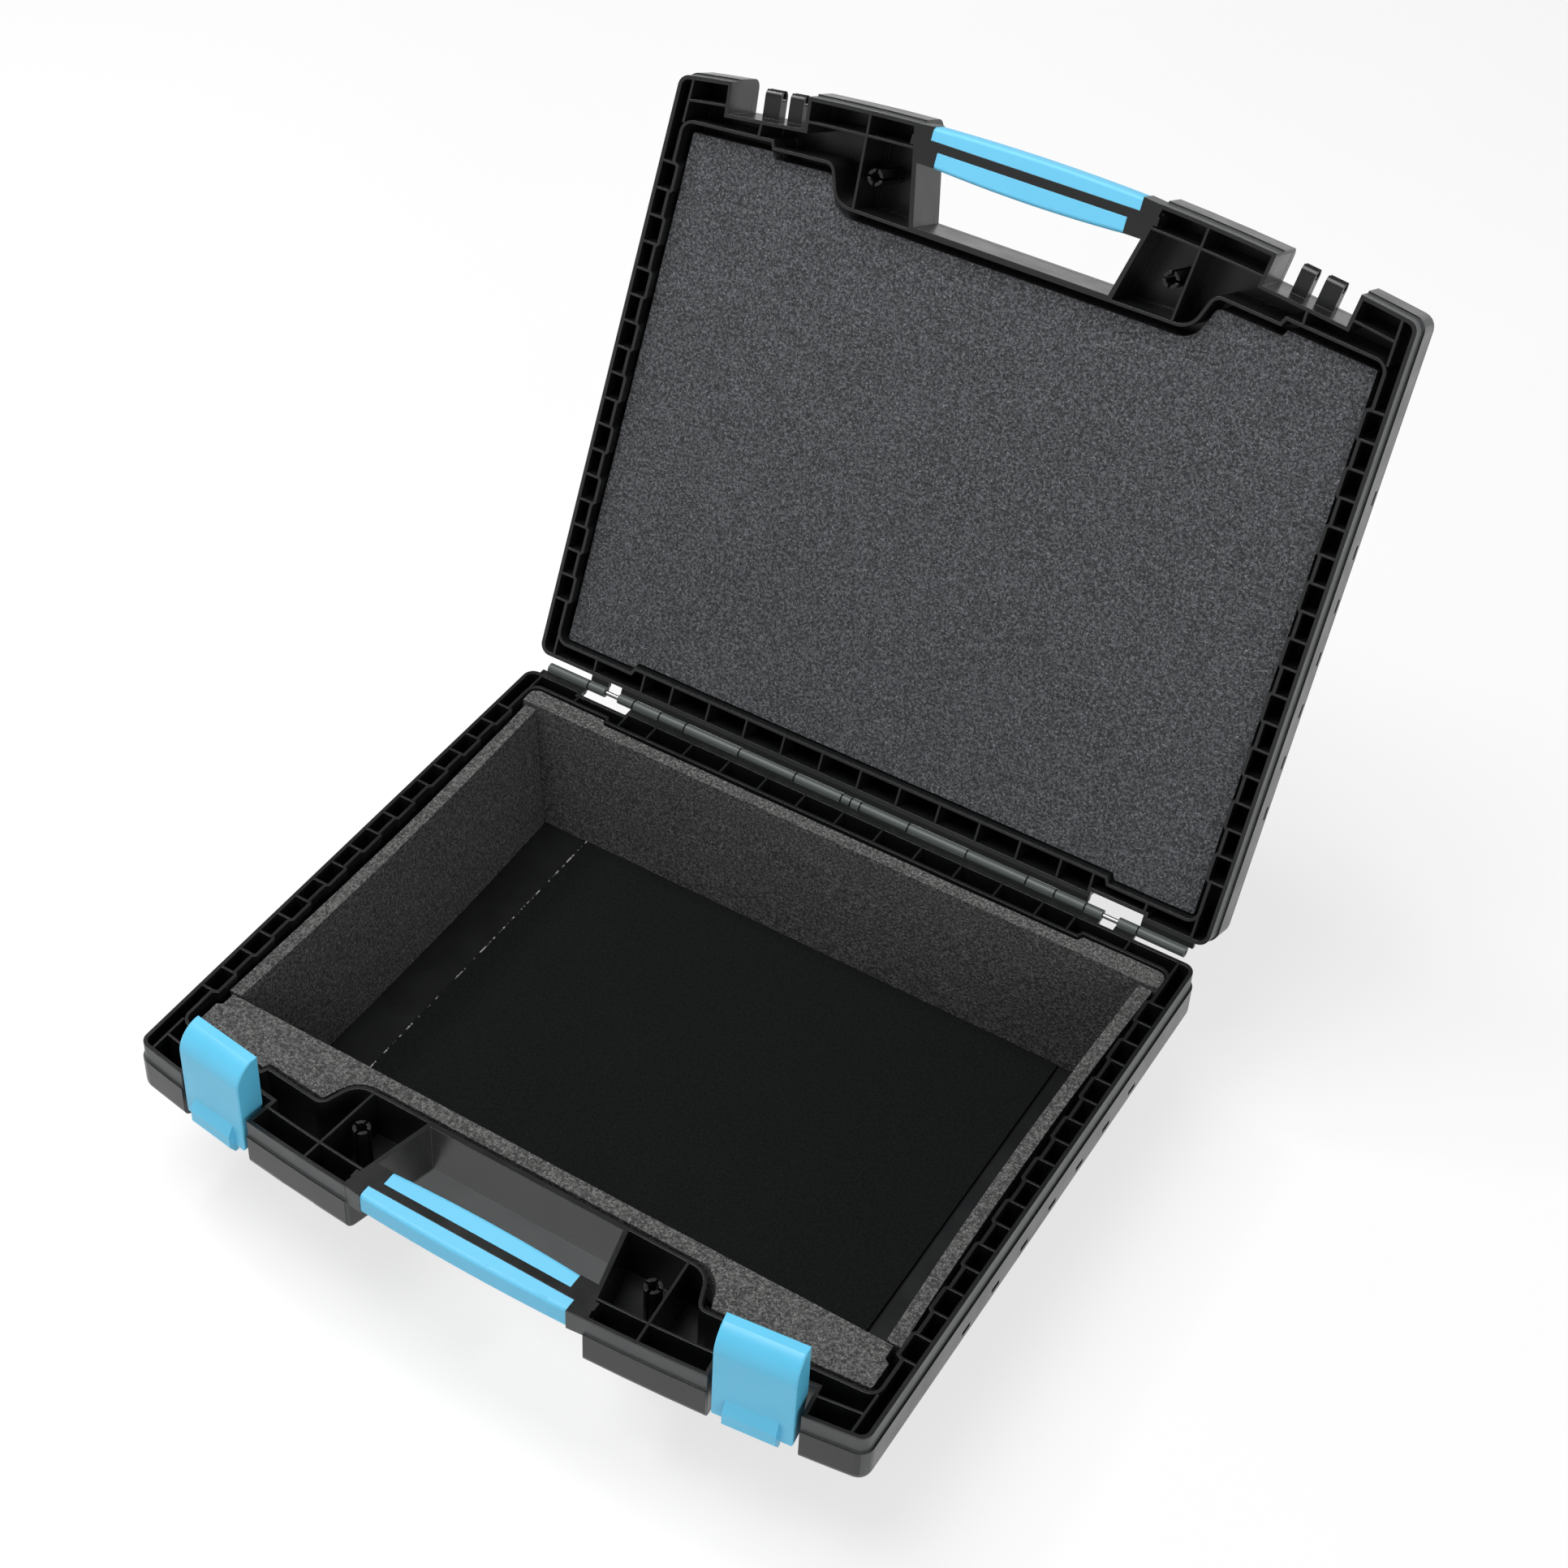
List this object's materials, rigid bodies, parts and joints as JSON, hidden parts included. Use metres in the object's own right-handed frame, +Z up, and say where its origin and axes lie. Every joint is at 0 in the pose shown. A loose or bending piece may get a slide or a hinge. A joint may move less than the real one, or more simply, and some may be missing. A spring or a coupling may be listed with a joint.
{
  "type": "tool case",
  "caption": "Open hinged plastic tool case with a double-wall ribbed rim, foam lining, soft carry grips and snap latches at the front corners",
  "frame": {"origin": "middle of the tray's flat underside, under the middle of the rim between its front and rear corners", "axes": "+X to the right seen from the front, +Y to the hinge at the rear, +Z up; the case stands open as it is used"},
  "size_m": [0.3908, 0.5009, 0.3892],
  "materials": {
    "shell": "fine satin black polypropylene",
    "pin": "plain steel rod",
    "latch": "satin sky blue plastic",
    "grip": "soft sky blue rubber",
    "tray_foam": "dark open-cell foam",
    "floor_foam": "thin black foam sheet",
    "lid_foam": "dark grey speckled open-cell foam"
  },
  "bodies": {
    "tray": {"base_shell": "shell", "hinge_pin": "pin", "base_grip_outer": "grip", "base_grip_inner": "grip", "base_foam_rear": "tray_foam", "base_foam_front": "tray_foam", "base_foam_left": "tray_foam", "base_foam_right": "tray_foam", "base_floor_sheet": "floor_foam"},
    "lid": {"lid_shell": "shell", "lid_grip_outer": "grip", "lid_grip_inner": "grip", "lid_foam": "lid_foam"},
    "latch_left": {"latch_left": "latch"},
    "latch_right": {"latch_right": "latch"}
  },
  "joints": [
    {"name": "lid_hinge", "type": "hinge", "parent": "tray", "child": "lid", "pos_m": [0, 0.163, 0.0842], "axis": [1, 0, 0], "range_deg": [0, 114.5]},
    {"name": "latch_left_pivot", "type": "hinge", "parent": "tray", "child": "latch_left", "pos_m": [-0.14359, -0.15926, 0.066], "axis": [0.9926, -0.1213, 0], "range_deg": [0, 90]},
    {"name": "latch_right_pivot", "type": "hinge", "parent": "tray", "child": "latch_right", "pos_m": [0.14359, -0.15926, 0.066], "axis": [0.9926, 0.1213, 0], "range_deg": [0, 90]}
  ]
}
